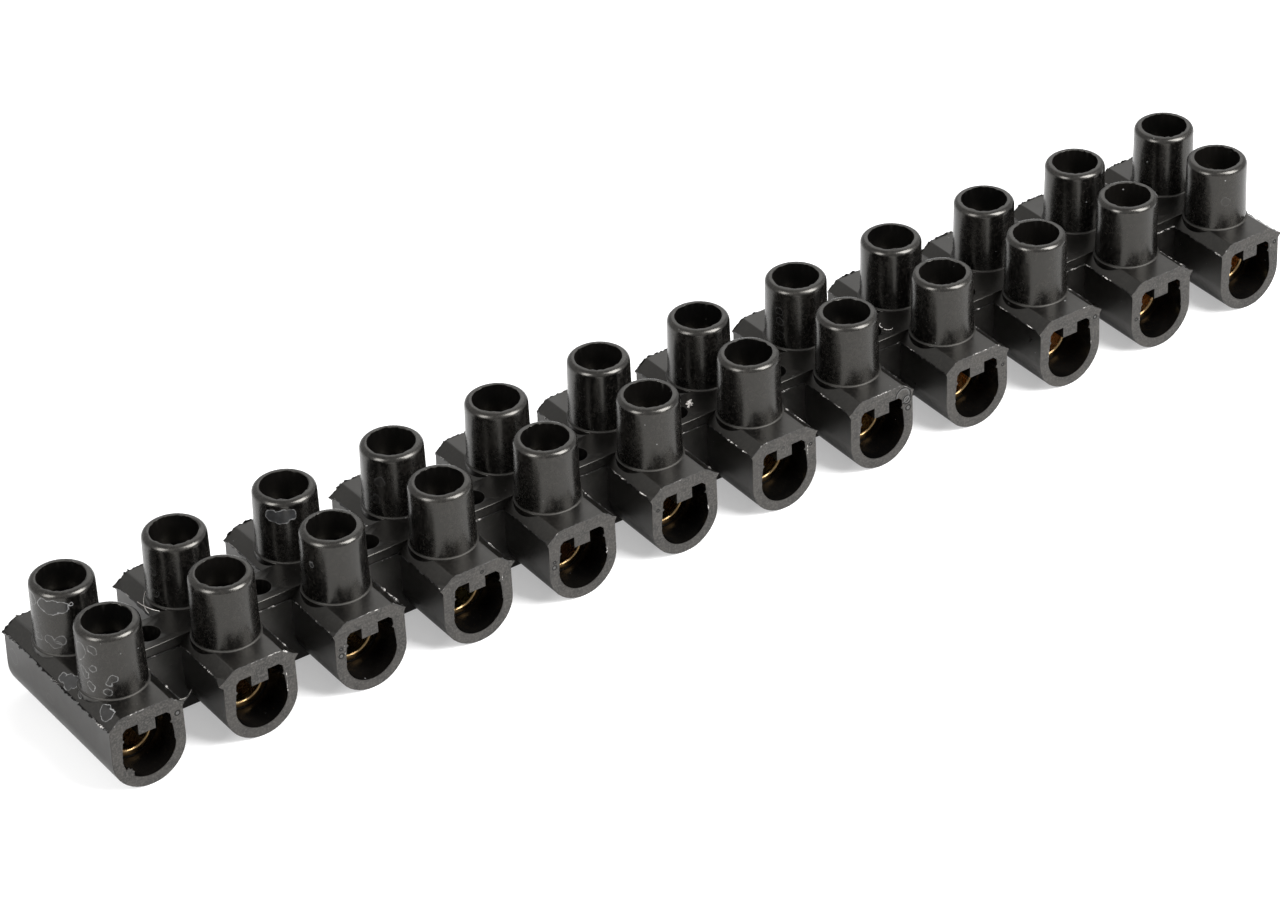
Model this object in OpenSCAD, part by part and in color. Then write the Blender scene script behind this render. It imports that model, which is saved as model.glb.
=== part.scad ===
// Screw connector strip: a one-piece moulded body of linked barrels, each with a brass
// clamping sleeve and two screws that are reached through a pair of round turrets.
//
// X runs along the strip, Y along the wires, Z up. The origin is at the middle of the
// strip's length and width, on the plane that the barrels stand on.

/* [Strip] */
// Number of poles
poles = 12; // [2:1:16]
// Distance from one pole to the next
pitch = 12.5; // [12:0.1:18]

/* [Barrels] */
// Length of a barrel, from one wire entry to the other
barrel_l = 20.6; // [19.5:0.1:30]
// Width of a barrel, which is also twice the radius of its round underside
barrel_w = 8.1; // [7.7:0.1:9]
// Height of the flat deck on top of the barrels
deck_z = 8.95; // [8.7:0.05:11]
// Width of the deck between the corners where the bevels start
deck_w = 5.4; // [4.4:0.1:6.2]
// Radius that rounds each corner between the deck and a bevel
deck_corner_r = 0.3; // [0.1:0.05:0.8]
// Height of the mould's parting line, at the foot of the bevels
parting_z = 7.9; // [7.2:0.05:8.4]
// Width of a barrel at the parting line
parting_w = 8; // [7.6:0.1:9]

/* [Wire entries] */
// Width of an entry at its widest, which is also twice the radius of its round floor
mouth_w = 5.8; // [5.7:0.1:6.4]
// Width of an entry at its ceiling
mouth_top_w = 5.1; // [4:0.1:5.6]
// Height of an entry's ceiling
mouth_top_z = 7.5; // [7.1:0.05:7.8]
// Cut across each upper corner of an entry
mouth_corner = 0.35; // [0.1:0.05:0.5]
// Depth of an entry, from the barrel's end to the sleeve
mouth_depth = 3.7; // [2:0.1:4.2]
// Width of the stop rib that hangs from the ceiling of a front entry
stop_w = 1.9; // [1:0.1:2.6]
// Height of the underside of the stop rib
stop_z = 6.25; // [5.6:0.05:6.7]
// Height of the small ridges on the side walls of a front entry
nib_z = 6.2; // [5.8:0.05:6.3]
// Thickness of a ridge where it meets the wall
nib_t = 0.4; // [0.2:0.05:0.5]
// Distance by which a ridge stands out from the wall
nib_h = 0.2; // [0.05:0.05:0.3]

/* [Turrets] */
// Distance from a turret's axis to the nearer end of the sleeve
turret_inset = 2.2; // [2:0.05:2.5]
// Height of a turret above the deck
turret_h = 7.1; // [5.5:0.1:10]
// Outer diameter of a turret at its foot
turret_foot_d = 6.7; // [6.4:0.1:7.6]
// Outer diameter of a turret at its head
turret_head_d = 6.5; // [6.2:0.1:7.4]
// Radius that rounds the outer edge of a turret's rim
rim_r = 0.6; // [0.1:0.05:0.75]
// Radius of the fillet where a turret meets the deck
foot_r = 0.2; // [0.05:0.05:0.4]
// Diameter of a turret's driver bore at the rim
driver_bore_d = 4.9; // [4.7:0.05:4.95]
// Diameter that the driver bore tapers to, at the height of the sleeve's axis
driver_bore_foot_d = 4.5; // [4.45:0.05:4.65]

/* [Webs] */
// Thickness of the webs above the parting line
web_t = 4.5; // [4:0.1:7]
// Ledge by which each face of a web stands out below the parting line
web_ledge = 0.2; // [0.05:0.05:0.5]
// Height of the underside of the webs
web_z = 0.5; // [0.2:0.1:3]
// Diameter of the fixing hole through each web
fixing_d = 2.6; // [2:0.1:3.2]

/* [Brass sleeves] */
// Outer diameter of a sleeve
sleeve_od = 5.6; // [5.3:0.05:5.7]
// Bore of a sleeve
sleeve_id = 4.2; // [3.8:0.05:4.4]
// Bevel at each end of a sleeve's bore
sleeve_bevel = 0.15; // [0.05:0.05:0.3]

/* [Clamping screws] */
// Diameter of a screw's shank
shank_d = 3.5; // [3:0.05:3.7]
// Length of a screw below its head
shank_l = 4.5; // [3:0.1:5]
// Bevel at a screw's tip
tip_bevel = 0.35; // [0.1:0.05:0.8]
// Diameter of a screw's head
head_d = 4.3; // [3.9:0.05:4.4]
// Height of a screw's head
head_h = 2; // [1.4:0.1:2.6]
// Bevel round the top of a screw's head
head_bevel = 0.25; // [0.05:0.05:0.4]
// Width of the driver slot
slot_w = 0.8; // [0.5:0.05:1.2]
// Depth of the driver slot
slot_depth = 1; // [0.5:0.1:1.2]
// Gap between a screw's shank and its hole in the sleeve
thread_gap = 0.05; // [0.02:0.01:0.09]
// Height of an open screw's tip above the top of the sleeve's bore
open_gap = 0.07; // [0:0.01:0.3]

/* [Hidden] */
$fn = 64;
eps = 0.5;                 // overrun of a cut past the face that it opens
seat_eps = 0.05;           // overrun of the sleeve's seat into the entries
arc_steps = 6;             // straight steps in a small rounded corner
foot_steps = 3;            // straight steps in the fillet at a turret's foot
root_depth = 0.6;          // depth of a turret's wall below the parting line
axis_z = barrel_w / 2;     // height of the barrels' and sleeves' axis
top_z = deck_z + turret_h; // height of the turrets' rims
strip_l = (poles - 1) * pitch + barrel_w;
sleeve_l = barrel_l - 2 * mouth_depth;
turret_spacing = sleeve_l - 2 * turret_inset;
turret_root_z = parting_z - root_depth; // a turret's wall runs down to here, inside its barrel
open_tip_z = axis_z + sleeve_id / 2 + open_gap;

function two_digits(n) = n < 10 ? str("0", n) : str(n);
function pole_name(part, i) = str(part, "_", two_digits(i + 1));
function pole_x(i) = (i - (poles - 1) / 2) * pitch;
function arc(cx, cy, r, a0, a1, steps) =
    [for (k = [0 : steps]) let (a = a0 + (a1 - a0) * k / steps) [cx + r * cos(a), cy + r * sin(a)]];

// Runs a profile drawn in X and Z along Y, from y0 to y1.
module along_y(y0, y1) {
    translate([0, y1, 0]) rotate([90, 0, 0]) linear_extrude(y1 - y0) children();
}

// Half of the barrel's outline above its round underside, from the parting line to the
// start of the deck. The bevel meets the deck in a rounded corner.
function bevel_outline() =
    let (
        slope = atan2(deck_z - parting_z, (parting_w - deck_w) / 2),
        back = deck_corner_r * tan(slope / 2),
        cx = deck_w / 2 - back
    )
    concat([[parting_w / 2, parting_z]],
           arc(cx, deck_z - deck_corner_r, deck_corner_r, 90 - slope, 90, arc_steps));

function mirrored(points) = [for (k = [len(points) - 1 : -1 : 0]) [-points[k][0], points[k][1]]];

module barrel_outline() {
    half = bevel_outline();
    translate([0, axis_z]) circle(d = barrel_w);
    polygon(concat([[barrel_w / 2, axis_z]], half, mirrored(half), [[-barrel_w / 2, axis_z]]));
}

// Half width of an entry at height z, between its axis and its ceiling.
function mouth_wall_x(z) =
    (mouth_w + (mouth_top_w - mouth_w) * (z - axis_z) / (mouth_top_z - axis_z)) / 2;

// A small pointed ridge on the right-hand wall of a front entry.
function nib_outline() = [
    [mouth_wall_x(nib_z - nib_t / 2), nib_z - nib_t / 2],
    [mouth_wall_x(nib_z) - nib_h, nib_z],
    [mouth_wall_x(nib_z + nib_t / 2), nib_z + nib_t / 2]
];

// Outline of an entry: round floor, side walls that lean in, and a ceiling with cut corners.
module mouth_outline(nibs) {
    corner_z = mouth_top_z - mouth_corner;
    half = concat(
        nibs ? nib_outline() : [],
        [[mouth_wall_x(corner_z), corner_z], [mouth_top_w / 2 - mouth_corner, mouth_top_z]]
    );
    translate([0, axis_z]) circle(d = mouth_w);
    polygon(concat([[mouth_w / 2, axis_z]], half, mirrored(half), [[-mouth_w / 2, axis_z]]));
}

// A turret as a solid of revolution: filleted foot, slightly tapered wall and rounded rim.
module turret() {
    head_r = turret_head_d / 2;
    wall_foot_r = turret_foot_d / 2;
    rotate_extrude()
        polygon(concat(
            [[0, turret_root_z], [wall_foot_r + foot_r, turret_root_z]],
            arc(wall_foot_r + foot_r, deck_z + foot_r, foot_r, 270, 180, foot_steps),
            arc(head_r - rim_r, top_z - rim_r, rim_r, 0, 90, arc_steps),
            [[0, top_z]]
        ));
}

module webs() {
    web_l = strip_l - barrel_w;
    translate([-web_l / 2, -web_t / 2, parting_z - eps])
        cube([web_l, web_t, deck_z - parting_z + eps]);
    translate([-web_l / 2, -web_t / 2 - web_ledge, web_z])
        cube([web_l, web_t + 2 * web_ledge, parting_z - web_z]);
}

// The hollow of one pole: two wire entries, the sleeve's seat and two driver bores.
module pole_hollow() {
    end_y = barrel_l / 2;
    seat_y = sleeve_l / 2;
    difference() {
        along_y(-end_y - eps, -seat_y) mouth_outline(nibs = true);
        translate([-stop_w / 2, -end_y - 2 * eps, stop_z])
            cube([stop_w, mouth_depth + 3 * eps, barrel_w]);
    }
    along_y(seat_y, end_y + eps) mouth_outline(nibs = false);
    along_y(-seat_y - seat_eps, seat_y + seat_eps) translate([0, axis_z]) circle(d = sleeve_od);
    bore_h = top_z - axis_z;
    bore_taper = (driver_bore_d - driver_bore_foot_d) / bore_h;
    for (side = [-1, 1])
        translate([0, side * turret_spacing / 2, axis_z])
            cylinder(d1 = driver_bore_foot_d, d2 = driver_bore_d + bore_taper * eps, h = bore_h + eps);
}

module housing() {
    color([0.09, 0.09, 0.09])
    difference() {
        union() {
            for (i = [0 : poles - 1])
                translate([pole_x(i), 0, 0]) {
                    along_y(-barrel_l / 2, barrel_l / 2) barrel_outline();
                    for (side = [-1, 1])
                        translate([0, side * turret_spacing / 2, 0]) turret();
                }
            webs();
        }
        for (i = [0 : poles - 1])
            translate([pole_x(i), 0, 0]) pole_hollow();
        for (i = [0 : poles - 2])
            translate([(pole_x(i) + pole_x(i + 1)) / 2, 0, -eps])
                cylinder(d = fixing_d, h = deck_z + 2 * eps);
    }
}

module sleeve() {
    half_l = sleeve_l / 2;
    bore_r = sleeve_id / 2;
    color([0.72, 0.55, 0.28])
    difference() {
        translate([0, 0, axis_z]) rotate([-90, 0, 0]) rotate_extrude()
            polygon([
                [bore_r + sleeve_bevel, -half_l], [sleeve_od / 2, -half_l],
                [sleeve_od / 2, half_l], [bore_r + sleeve_bevel, half_l],
                [bore_r, half_l - sleeve_bevel], [bore_r, sleeve_bevel - half_l]
            ]);
        for (side = [-1, 1])
            translate([0, side * turret_spacing / 2, axis_z])
                cylinder(d = shank_d + 2 * thread_gap, h = sleeve_od);
    }
}

// A cheese-head screw, drawn with its tip at the origin.
module screw() {
    shank_r = shank_d / 2;
    head_r = head_d / 2;
    screw_l = shank_l + head_h;
    color([0.62, 0.6, 0.56])
    difference() {
        rotate_extrude()
            polygon([
                [0, 0], [shank_r - tip_bevel, 0], [shank_r, tip_bevel], [shank_r, shank_l],
                [head_r, shank_l], [head_r, screw_l - head_bevel],
                [head_r - head_bevel, screw_l], [0, screw_l]
            ]);
        translate([-head_d, -slot_w / 2, screw_l - slot_depth])
            cube([2 * head_d, slot_w, slot_depth + eps]);
    }
}

housing();
for (i = [0 : poles - 1]) {
    translate([pole_x(i), 0, 0]) sleeve();
    translate([pole_x(i), -turret_spacing / 2, open_tip_z]) screw();
    translate([pole_x(i), turret_spacing / 2, open_tip_z]) screw();
}
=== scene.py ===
import logging
import math
from collections.abc import Callable, Iterator
from contextlib import contextmanager
from dataclasses import dataclass
from enum import Enum, IntEnum

import bpy
from mathutils import Matrix, Vector


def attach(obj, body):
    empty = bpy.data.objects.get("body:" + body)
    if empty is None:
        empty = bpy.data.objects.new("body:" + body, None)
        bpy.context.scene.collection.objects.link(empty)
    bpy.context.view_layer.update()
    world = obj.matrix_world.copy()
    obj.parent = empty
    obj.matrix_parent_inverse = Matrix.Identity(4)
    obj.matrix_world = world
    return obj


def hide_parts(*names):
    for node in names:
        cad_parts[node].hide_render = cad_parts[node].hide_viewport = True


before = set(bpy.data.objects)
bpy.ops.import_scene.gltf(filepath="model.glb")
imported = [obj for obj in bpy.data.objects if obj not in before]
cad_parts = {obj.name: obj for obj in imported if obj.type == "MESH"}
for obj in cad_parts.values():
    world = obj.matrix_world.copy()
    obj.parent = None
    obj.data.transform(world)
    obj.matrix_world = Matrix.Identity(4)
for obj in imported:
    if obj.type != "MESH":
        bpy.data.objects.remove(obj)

log = logging.getLogger("connector_strip")
MM = 0.001
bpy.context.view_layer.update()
STRIP_BODY = "strip"
SHARP_DEG = 35.0

Triple = tuple[float, float, float]
Colour = tuple[float, float, float, float]
Reaches = tuple[float, ...]
Socket = bpy.types.NodeSocket


class Slot(Enum):
    """Material slots of the part's record."""

    HOUSING = "housing_nylon"
    SLEEVE = "sleeve_brass"
    SCREW = "screw_steel"


class Skin(IntEnum):
    """Places of the nylon's finishes on the moulding."""

    MOULDED = 0
    INSIDE = 1
    SAWN = 2


class Seed(IntEnum):
    """Numbers that pick the raggedness of the first strip of each kind."""

    WALLS = 1
    HEAVY_WALL = 51
    WEBS = 101
    FRONT_ENDS = 201
    MOUTHS = 401
    LUMP = 451
    BACK_ENDS = 501


class Side(Enum):
    """The two ends of a barrel, with the sign of their place along Y."""

    FRONT = -1
    BACK = 1


class Wall(Enum):
    """The two side walls of a barrel, with the sign of their place along X."""

    LEFT = -1
    RIGHT = 1


@dataclass(frozen=True)
class Layout:
    """Main sizes of the strip, in millimetres, and the places of its poles."""

    poles: int = 12
    pitch: float = 12.5
    half_length: float = 10.3
    axis_z: float = 4.05
    turret_y: float = 4.4
    deck_z: float = 8.95
    deck_half: float = 2.7
    parting_z: float = 7.9
    parting_half: float = 4.0
    web_half: float = 2.45
    top_z: float = 16.05
    turret_r: float = 3.32
    bore_r: float = 2.45
    mouth_half: float = 2.9

    def x(self, pole: int) -> float:
        """Place of a pole along the strip, counted from 1."""
        return (pole - (self.poles + 1) / 2) * self.pitch

    def pole(self, x: float) -> int:
        """Number of the pole nearest to a place along the strip."""
        return min(max(round(x / self.pitch + (self.poles + 1) / 2), 1), self.poles)


LAYOUT = Layout()


# ---------------------------------------------------------------- node helpers


class Sheet:
    """The node tree of a material or a world, with short calls to add nodes and wire them."""

    def __init__(self, owner: bpy.types.Material | bpy.types.World) -> None:
        """Empties a node tree.

        Args:
            owner: the new material or world.
        """
        self.owner = owner
        owner.use_nodes = True
        self.tree = owner.node_tree
        self.tree.nodes.clear()

    def node(self, kind: str, inputs: dict | None = None, **props: object) -> bpy.types.Node:
        """Adds a node.

        Args:
            kind: the node's type name.
            inputs: value or output socket for each named or numbered input.
            props: settings of the node itself.

        Returns:
            The new node.
        """
        made = self.tree.nodes.new(kind)
        for name, value in props.items():
            setattr(made, name, value)
        for name, value in (inputs or {}).items():
            if isinstance(value, Socket):
                self.tree.links.new(value, made.inputs[name])
            else:
                made.inputs[name].default_value = value
        return made

    def place(self, stretch: Triple | None = None) -> Socket:
        """Adds the place on the piece, which every pattern reads.

        Args:
            stretch: scale along each axis, where the pattern is stretched.

        Returns:
            The vector socket.
        """
        if stretch is None:
            return self.node("ShaderNodeTexCoord").outputs["Object"]
        return self.node("ShaderNodeMapping", {"Vector": self.place(), "Scale": stretch}).outputs[0]

    def math(self, operation: str, a: object, b: object = 0.0) -> Socket:
        """Adds a Math node.

        Args:
            operation: what it does.
            a: first value or socket.
            b: second value or socket.

        Returns:
            Its output socket.
        """
        return self.node("ShaderNodeMath", {0: a, 1: b}, operation=operation).outputs[0]

    def times(self, a: object, b: object) -> Socket:
        """Multiplies two values."""
        return self.math("MULTIPLY", a, b)

    def plus(self, a: object, b: object) -> Socket:
        """Adds two values."""
        return self.math("ADD", a, b)

    def either(self, a: Socket | None, b: Socket) -> Socket:
        """Gives the larger of two values, or the second where there is no first."""
        return b if a is None else self.math("MAXIMUM", a, b)

    def blend(self, share: Socket, a: float, b: float) -> Socket:
        """Mixes two plain values.

        Args:
            share: share of the second value.
            a: first value.
            b: second value.

        Returns:
            The mixed value's socket.
        """
        return self.node("ShaderNodeMix", {0: share, 2: a, 3: b}, data_type="FLOAT").outputs[0]

    def ramp(
        self, value: object, low: float, high: float, to_low: float = 0.0, to_high: float = 1.0
    ) -> Socket:
        """Maps a value smoothly from one range to another.

        Args:
            value: the value or socket to map.
            low: where the range starts.
            high: where the range ends.
            to_low: result at the start.
            to_high: result at the end.

        Returns:
            The mapped value's socket.
        """
        made = self.node(
            "ShaderNodeMapRange",
            {"Value": value, "From Min": low, "From Max": high, "To Min": to_low, "To Max": to_high},
            interpolation_type="SMOOTHSTEP",
        )
        return made.outputs["Result"]

    def noise(
        self,
        where: Socket,
        size_mm: float,
        detail: float = 3.0,
        distortion: float = 0.0,
        roughness: float = 0.5,
    ) -> Socket:
        """Adds noise whose features have a given size.

        Args:
            where: the vector socket that it reads.
            size_mm: size of its features in millimetres.
            detail: how many finer layers it has.
            distortion: how far it is twisted.
            roughness: strength of the finer layers.

        Returns:
            The noise value's socket.
        """
        made = self.node(
            "ShaderNodeTexNoise",
            {
                "Vector": where,
                "Scale": 1.0 / (size_mm * MM),
                "Detail": detail,
                "Distortion": distortion,
                "Roughness": roughness,
            },
        )
        return made.outputs["Fac"]

    def mix(self, factor: object, a: object, b: object) -> Socket:
        """Mixes two colours.

        Args:
            factor: share of the second colour.
            a: first colour or socket.
            b: second colour or socket.

        Returns:
            The mixed colour's socket.
        """
        return self.node("ShaderNodeMix", {0: factor, 6: a, 7: b}, data_type="RGBA").outputs[2]

    def finish(self, shader: Socket) -> bpy.types.Material:
        """Wires a shader to the output.

        Args:
            shader: the shader's socket.

        Returns:
            The finished material.
        """
        self.node("ShaderNodeOutputMaterial", {"Surface": shader})
        return self.owner

    def surface(
        self,
        tone: Socket,
        rough: Socket,
        relief: Socket,
        settings: dict,
        strength: float = 0.5,
        depth_mm: float = 0.02,
    ) -> bpy.types.Material:
        """Finishes the material with its colour, roughness and fine relief.

        Args:
            tone: colour.
            rough: roughness.
            relief: height of the fine relief.
            settings: the shader's fixed values.
            strength: how strongly the relief shows.
            depth_mm: depth of the relief in millimetres.

        Returns:
            The finished material.
        """
        dents = {"Strength": strength, "Distance": depth_mm * MM, "Height": relief}
        bump = self.node("ShaderNodeBump", dents)
        inputs = {"Base Color": tone, "Roughness": rough, "Normal": bump.outputs[0], **settings}
        return self.finish(self.node("ShaderNodeBsdfPrincipled", inputs).outputs[0])


def grey(level: float, warmth: float = 0.0) -> Colour:
    """A grey colour, warmer or cooler by a small amount."""
    return (level * (1 + warmth), level, level * (1 - warmth), 1.0)


# ------------------------------------------------------------------- finishes


@dataclass(frozen=True)
class Mark:
    """A dried drop or a pit: overlapping discs on the skin, in millimetres."""

    discs: tuple[tuple[float, float, float, float], ...]
    strength: float = 1.0
    film: float = 0.3


def on_turret(
    pole: int, side: Side, spots: tuple[Triple, ...], strength: float = 1.0, film: float = 0.3
) -> Mark:
    """Places a dried drop on a turret.

    Args:
        pole: number of the barrel.
        side: which of its turrets.
        spots: angle round the turret in degrees, height and radius of each disc.
        strength: how clearly its outline shows.
        film: how milky it is inside.

    Returns:
        The drop.
    """
    discs = []
    for angle, z, radius in spots:
        a = math.radians(angle)
        x = LAYOUT.x(pole) + LAYOUT.turret_r * math.cos(a)
        y = side.value * LAYOUT.turret_y + LAYOUT.turret_r * math.sin(a)
        discs.append((x, y, z, radius))
    return Mark(tuple(discs), strength, film)


def dried_drops() -> list[Mark]:
    """Lists the dried drops, most of them on the first barrels.

    Returns:
        The drops.
    """
    front, back, x = Side.FRONT, Side.BACK, LAYOUT.x(1)
    return [
        on_turret(1, back, ((-153, 14.75, 0.7), (-138, 14.6, 0.85), (-122, 14.55, 0.72)), 1.0, 0.5),
        on_turret(1, back, ((-106, 14.8, 0.2),), 1.3, 0.0),
        on_turret(1, back, ((176, 14.8, 0.75),), 1.0, 0.1),
        on_turret(1, back, ((-148, 10.7, 0.55), (-140, 10.2, 0.5)), 0.6, 0.4),
        on_turret(1, back, ((-129, 10.7, 0.55),), 0.6, 0.5),
        on_turret(1, back, ((-172, 10.7, 0.5),), 0.5, 0.2),
        on_turret(1, front, ((-173, 14.2, 0.75), (-178, 13.6, 0.7)), 0.9, 0.1),
        on_turret(1, front, ((-148, 14.7, 0.5),), 0.8, 0.1),
        on_turret(1, front, ((-150, 12.4, 0.42),), 0.8, 0.2),
        on_turret(1, front, ((-166, 11.4, 0.5), (-172, 11.9, 0.4)), 0.7, 0.15),
        on_turret(1, front, ((-156, 10.25, 0.48),), 0.9, 0.2),
        on_turret(1, front, ((-118, 11.4, 0.42), (-124, 10.9, 0.36)), 0.8, 0.3),
        on_turret(1, front, ((-127, 9.9, 0.36),), 0.7, 0.2),
        on_turret(2, back, ((-166, 12.9, 0.42),), 0.17, 0.1),
        on_turret(2, back, ((-164, 10.4, 0.5),), 0.2, 0.1),
        on_turret(3, back, ((-143, 14.5, 0.75), (-128, 14.35, 0.85), (-112, 14.6, 0.62)), 0.9, 1.1),
        on_turret(3, front, ((-162, 13.4, 0.32),), 0.6, 0.3),
        on_turret(4, back, ((-147, 13.3, 0.48),), 0.17, 0.15),
        on_turret(4, back, ((-156, 11.1, 0.5),), 0.15, 0.1),
        on_turret(8, back, ((-159, 13.5, 0.42),), 0.15, 0.05),
        on_turret(8, back, ((-157, 12.2, 0.42),), 0.15, 0.05),
        on_turret(8, back, ((-157, 10.6, 0.45),), 0.12, 0.05),
        on_turret(12, front, ((-112, 12.4, 0.5),), 0.12, 0.1),
        Mark(((x - 3.05, -8.5, 8.65, 0.75), (x - 2.9, -7.9, 8.75, 0.6)), 1.0, 0.4),
        Mark(
            (
                (x - 3.45, -0.5, 8.35, 0.5),
                (x - 3.2, -1.3, 8.5, 0.62),
                (x - 3.0, -2.1, 8.65, 0.6),
                (x - 3.5, -1.7, 8.3, 0.5),
            ),
            1.1,
            0.95,
        ),
        Mark(((x - 2.9, -3.2, 8.8, 0.3),), 0.9, 0.5),
        Mark(((x - 3.5, -4.0, 8.3, 0.28),), 0.8, 0.3),
        Mark(((x - 4.03, 8.7, 5.7, 0.75),), 0.35, 0.1),
        Mark(((x - 4.03, 1.7, 4.8, 0.6),), 0.3, 0.1),
    ]


def sawn_pits() -> list[Mark]:
    """Lists the small round pits in the sawn front ends.

    Returns:
        The pits.
    """
    places = (
        (1, 3.35, 6.9, 0.26),
        (3, -3.4, 5.3, 0.26),
        (3, -3.38, 6.1, 0.16),
        (4, 0.6, 8.1, 0.14),
        (5, -3.45, 4.9, 0.24),
        (5, -3.4, 5.5, 0.14),
        (6, -3.3, 6.4, 0.14),
        (7, 3.3, 6.6, 0.16),
        (8, 3.25, 6.95, 0.5),
        (8, 2.75, 7.6, 0.95),
        (8, 3.4, 5.9, 0.3),
        (9, 3.4, 6.2, 0.14),
        (10, 3.35, 7.2, 0.22),
        (11, -3.4, 4.6, 0.16),
        (12, 3.45, 7.0, 0.18),
    )
    y = -LAYOUT.half_length
    return [Mark(((LAYOUT.x(pole) + x, y, z, radius),)) for pole, x, z, radius in places]


def outline(s: Sheet, place: Socket, mark: Mark) -> Socket:
    """Measures how far a place lies outside a mark.

    Args:
        s: the sheet that gets the nodes.
        place: the place on the piece.
        mark: the mark.

    Returns:
        The distance in millimetres, negative inside.
    """
    away = None
    for x, y, z, radius in mark.discs:
        centre = (x * MM, y * MM, z * MM)
        reach = s.node("ShaderNodeVectorMath", {0: place, 1: centre}, operation="DISTANCE")
        gap = s.math("MULTIPLY_ADD", reach.outputs["Value"], 1 / MM)
        gap.node.inputs[2].default_value = -radius
        away = gap if away is None else s.math("MINIMUM", away, gap)
    return away


@dataclass(frozen=True)
class NylonFinish:
    """Black moulded nylon: glossy turrets, satin body, flow mottling, dust and dried drops."""

    name: str = "black_nylon"
    skin: float = 0.0016
    turret_roughness: float = 0.24
    body_roughness: float = 0.3
    ior: float = 1.5
    tint: Colour = (1.0, 0.965, 0.9, 1.0)
    drop_line_mm: float = 0.045
    line_tone: float = 0.36
    film_tone: Colour = (0.06, 0.063, 0.07, 1.0)
    dust_tone: float = 0.4
    dusty: float = 0.4
    uneven: float = 1.0
    marked: bool = True

    def make(self) -> bpy.types.Material:
        """Builds the material.

        Returns:
            The finished material.
        """
        s = Sheet(bpy.data.materials.new(self.name))
        place = s.place()
        flow = s.noise(place, 5.0, detail=4.0, distortion=0.6)
        patch = s.noise(place, 1.6, distortion=0.3)
        mottle = s.noise(s.place((1.0, 1.0, 0.8)), 0.32, distortion=0.2)
        grain = s.noise(place, 0.14, detail=2.0)
        level = s.node("ShaderNodeSeparateXYZ", {0: place}).outputs["Z"]
        high = s.ramp(level, 8.97 * MM, 9.05 * MM)
        foot = s.times(
            s.ramp(level, 8.955 * MM, 8.965 * MM), s.ramp(level, 9.05 * MM, 9.2 * MM, 1.0, 0.0)
        )
        tone = s.mix(s.ramp(flow, 0.35, 0.7), grey(self.skin * 0.7, 0.05), grey(self.skin * 1.6, 0.12))
        fleck = s.times(s.ramp(mottle, 0.46, 0.66), s.blend(high, 0.25, 0.3))
        tone = s.mix(s.times(fleck, self.uneven), tone, grey(self.skin * 10.0, 0.12))
        base = s.blend(high, self.body_roughness, self.turret_roughness)
        base = s.plus(base, s.times(foot, 0.3 * self.uneven))
        share = s.blend(high, 0.45 * self.uneven, self.uneven)
        broad = s.plus(flow, s.times(patch, 0.6))
        rough = s.plus(base, s.ramp(broad, 0.55, 1.0, -0.02, 0.05))
        rough = s.plus(rough, s.times(s.ramp(mottle, 0.4, 0.7, -0.015, 0.025), share))
        height = s.plus(s.times(patch, 0.3), s.times(mottle, 0.4))
        height = s.times(s.plus(height, s.times(grain, 0.2)), share)
        if self.marked:
            line, film = self.drops(s, place)
            tone = s.mix(film, tone, self.film_tone)
            tone = s.mix(line, tone, grey(self.line_tone))
            rough = s.plus(rough, s.plus(s.times(line, 0.3), s.times(film, 0.6)))
        tone = s.mix(s.times(self.dust(s, place), self.dusty), tone, grey(self.dust_tone))
        return s.surface(tone, rough, height, {"IOR": self.ior, "Specular Tint": self.tint})

    @staticmethod
    def dust(s: Sheet, place: Socket) -> Socket:
        """Scatters small pale specks.

        Args:
            s: the sheet that gets the nodes.
            place: the place on the piece.

        Returns:
            1 on a speck, else 0.
        """
        speck = s.node("ShaderNodeTexVoronoi", {"Vector": place, "Scale": 1 / (1.5 * MM)}, feature="F1")
        size = s.ramp(s.noise(place, 2.0, detail=1.0), 0.45, 0.7, 0.03, 0.08)
        near = s.math("LESS_THAN", speck.outputs["Distance"], size)
        sparse = s.ramp(s.noise(place, 2.6, detail=2.0), 0.48, 0.56)
        return s.times(near, sparse)

    def drops(self, s: Sheet, place: Socket) -> tuple[Socket, Socket]:
        """Draws the outlines and films of the dried drops.

        Args:
            s: the sheet that gets the nodes.
            place: the place on the piece.

        Returns:
            Strength of the outlines and of the films.
        """
        wobble = s.node("ShaderNodeTexNoise", {"Vector": place, "Scale": 1 / (1.1 * MM), "Detail": 3.0})
        middle = {0: wobble.outputs["Color"], 1: (-0.5, -0.5, -0.5)}
        offset = s.node("ShaderNodeVectorMath", middle, operation="ADD").outputs[0]
        shift = s.node("ShaderNodeVectorMath", {0: offset, 3: 0.9 * MM}, operation="SCALE").outputs[0]
        bent = s.node("ShaderNodeVectorMath", {0: place, 1: shift}, operation="ADD").outputs[0]
        thin, wide = self.drop_line_mm * 0.4, self.drop_line_mm * 1.5
        line, film = None, None
        for mark in dried_drops():
            away = outline(s, bent, mark)
            edge = s.ramp(s.math("ABSOLUTE", away), thin, wide, 0.42 * mark.strength, 0.0)
            line = s.either(line, edge)
            if mark.film:
                film = s.either(film, s.ramp(away, -0.06, 0.0, 0.28 * mark.film, 0.0))
        broken = s.ramp(s.noise(place, 0.5), 0.34, 0.56, 0.25, 1.0)
        cloudy = s.ramp(s.noise(place, 0.7), 0.3, 0.7, 0.5, 1.0)
        return s.times(line, broken), s.times(film, cloudy)


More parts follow.
